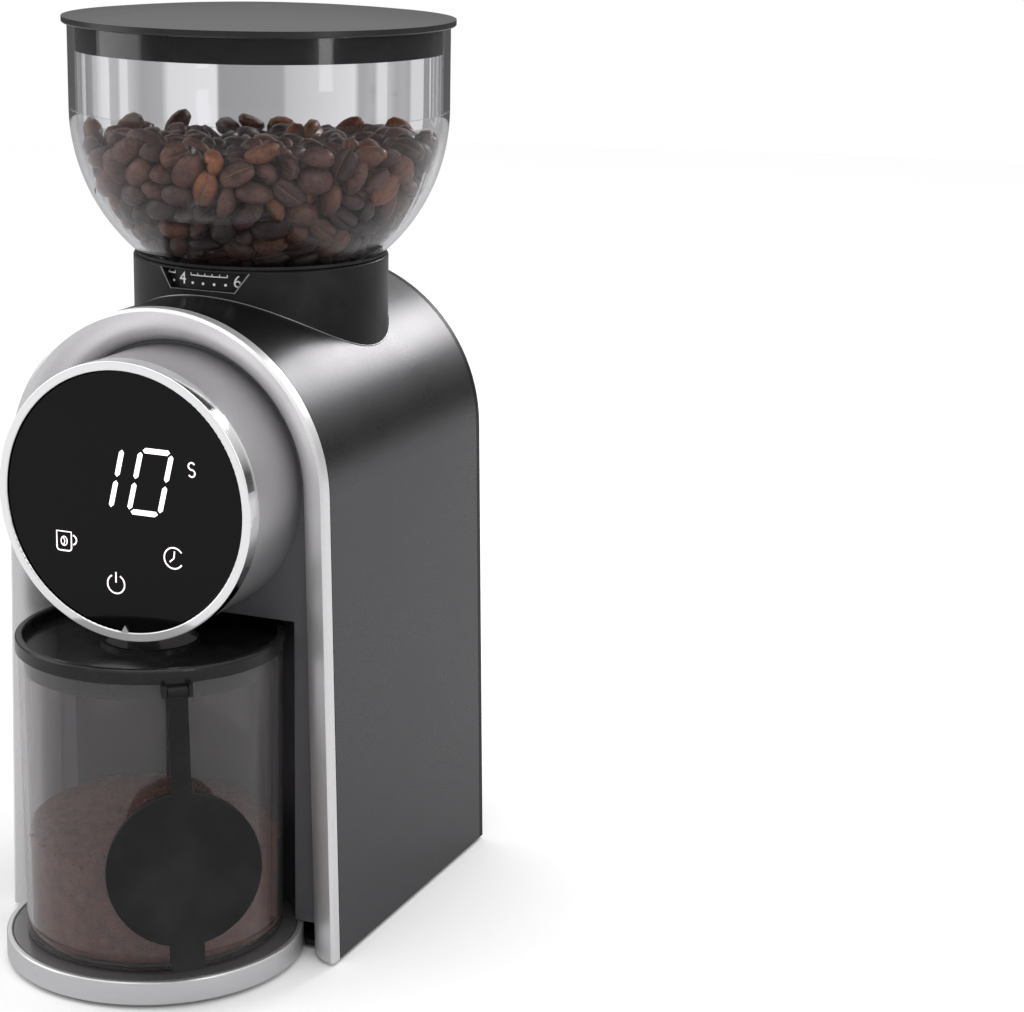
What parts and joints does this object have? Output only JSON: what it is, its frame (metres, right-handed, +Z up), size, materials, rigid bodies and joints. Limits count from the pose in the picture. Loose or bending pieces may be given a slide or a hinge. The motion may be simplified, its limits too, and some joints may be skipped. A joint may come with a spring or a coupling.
{
  "type": "burr coffee grinder",
  "caption": "Electric burr coffee grinder: arched metal body, clear bean hopper with lid, round display head with a turning ring, and a pull-out tinted canister with a stopper on a round base.",
  "frame": {"origin": "on the burr and hopper axis, at the level of the surface that the feet stand on", "axes": "+Z up, the display faces -Y, +X to a viewer's right"},
  "size_m": [0.154, 0.2359, 0.3593],
  "materials": {
    "shell_metal": "graphite satin with fine metallic flake",
    "bezel_satin": "light silver satin",
    "head_satin": "silver grey satin",
    "black_moulding": "black satin moulding",
    "lid_plastic": "dark grey satin top on glossy black",
    "chrome_ring": "mirror chrome",
    "display_black": "polished black display glass",
    "clear_bowl": "clear, faintly smoky",
    "smoky_jar": "smoky grey, glossy",
    "rubber_black": "matt black",
    "base_silver": "brushed round the rim",
    "base_gloss": "dark graphite gloss",
    "screw_steel": "plated",
    "turned_steel": "turned",
    "burr_steel": "ground and hardened",
    "gear_plastic": "natural acetal",
    "pinion_brass": "turned",
    "gearbox_plastic": "glass-filled",
    "motor_steel": "zinc plated",
    "magnet": "ferrite",
    "armature": "laminations",
    "board_green": "solder mask",
    "component_dark": "moulded",
    "scale_print": "black, printed white"
  },
  "bodies": {
    "housing": {"back_cover": "black_moulding", "back_cover_screws": "screw_steel", "base_core": "black_moulding", "base_top_plate": "base_gloss", "base_trim_ring": "base_silver", "board_components": "component_dark", "bottom_cover": "black_moulding", "bottom_screws": "screw_steel", "cord_gland": "rubber_black", "detent_plunger": "screw_steel", "detent_spring": "screw_steel", "digit_display": "component_dark", "display_board": "board_green", "display_carrier": "black_moulding", "display_glass": "display_black", "front_bezel": "bezel_satin", "front_panel": "black_moulding", "gearbox_case": "gearbox_plastic", "gearbox_cover": "gearbox_plastic", "gearbox_screws": "screw_steel", "grinding_chamber": "black_moulding", "grounds_chute": "black_moulding", "head_housing": "head_satin", "head_screws": "screw_steel", "hopper_collar": "black_moulding", "hopper_switch": "gearbox_plastic", "idler_pin": "turned_steel", "motor_can": "motor_steel", "motor_end_cap": "gearbox_plastic", "motor_magnets": "magnet", "motor_screws": "screw_steel", "outer_shell": "shell_metal", "power_board": "board_green", "rubber_feet": "rubber_black", "shaft_bearings": "turned_steel", "shaft_seal": "rubber_black", "spout_seal": "rubber_black", "touch_springs": "screw_steel"},
    "control_ring": {"control_ring": "chrome_ring"},
    "burr_spindle": {"burr_shaft": "turned_steel", "drive_gear": "gear_plastic", "impeller": "gear_plastic", "cone_burr": "burr_steel", "burr_nut": "turned_steel"},
    "idler": {"idler_gear": "gear_plastic"},
    "motor_rotor": {"motor_shaft": "turned_steel", "motor_pinion": "pinion_brass", "rotor_core": "armature"},
    "adjusting_ring": {"adjusting_ring": "black_moulding"},
    "burr_carrier": {"burr_carrier": "black_moulding", "ring_burr": "burr_steel"},
    "hopper": {"hopper_bowl": "clear_bowl", "hopper_base": "black_moulding", "hopper_seal": "rubber_black", "scale_band": "scale_print"},
    "hopper_lid": {"hopper_lid": "lid_plastic"},
    "canister": {"canister_jar": "smoky_jar"},
    "canister_lid": {"canister_lid": "black_moulding"},
    "stopper": {"stopper": "rubber_black"}
  },
  "joints": [
    {"name": "ring_turn", "type": "hinge", "parent": "housing", "child": "control_ring", "pos_m": [0, -0.105, 0.1845], "axis": [0, -1, 0], "continuous": true},
    {"name": "burr_spin", "type": "hinge", "parent": "housing", "child": "burr_spindle", "pos_m": [0, 0, 0.1794], "axis": [0, 0, 1], "continuous": true},
    {"name": "idler_spin", "type": "hinge", "parent": "housing", "child": "idler", "pos_m": [0.0227, 0.01961, 0.1794], "axis": [0, 0, 1], "continuous": true},
    {"name": "motor_spin", "type": "hinge", "parent": "housing", "child": "motor_rotor", "pos_m": [0, 0.036, 0.1794], "axis": [0, 0, 1], "continuous": true},
    {"name": "grind_adjust", "type": "hinge", "parent": "housing", "child": "adjusting_ring", "pos_m": [0, 0, 0.2243], "axis": [0, 0, 1], "range_deg": [-120, 20]},
    {"name": "burr_height", "type": "slide", "parent": "housing", "child": "burr_carrier", "axis": [0, 0, 1], "range_m": [-0.00135, 0.00025]},
    {"name": "hopper_lift", "type": "slide", "parent": "adjusting_ring", "child": "hopper", "axis": [0, 0, 1], "range_m": [0, 0.12]},
    {"name": "hopper_lid_lift", "type": "slide", "parent": "hopper", "child": "hopper_lid", "axis": [0, 0, 1], "range_m": [0, 0.12]},
    {"name": "canister_pull", "type": "slide", "parent": "housing", "child": "canister", "axis": [0, -1, 0], "range_m": [0, 0.16]},
    {"name": "canister_lid_twist", "type": "hinge", "parent": "canister", "child": "canister_lid", "pos_m": [0, -0.0925, 0.1251], "axis": [0, 0, 1], "range_deg": [-30, 0]},
    {"name": "stopper_swing", "type": "hinge", "parent": "canister_lid", "child": "stopper", "pos_m": [0.03381, -0.13279, 0.1225], "axis": [-0.766, -0.6428, 0], "range_deg": [0, 110]}
  ],
  "couplings": [
    {"joint": "idler_spin", "follows": "motor_spin", "ratio": -0.27273},
    {"joint": "burr_spin", "follows": "motor_spin", "ratio": 0.083004},
    {"joint": "burr_height", "follows": "grind_adjust", "m_per_rad": 0.00063662}
  ]
}
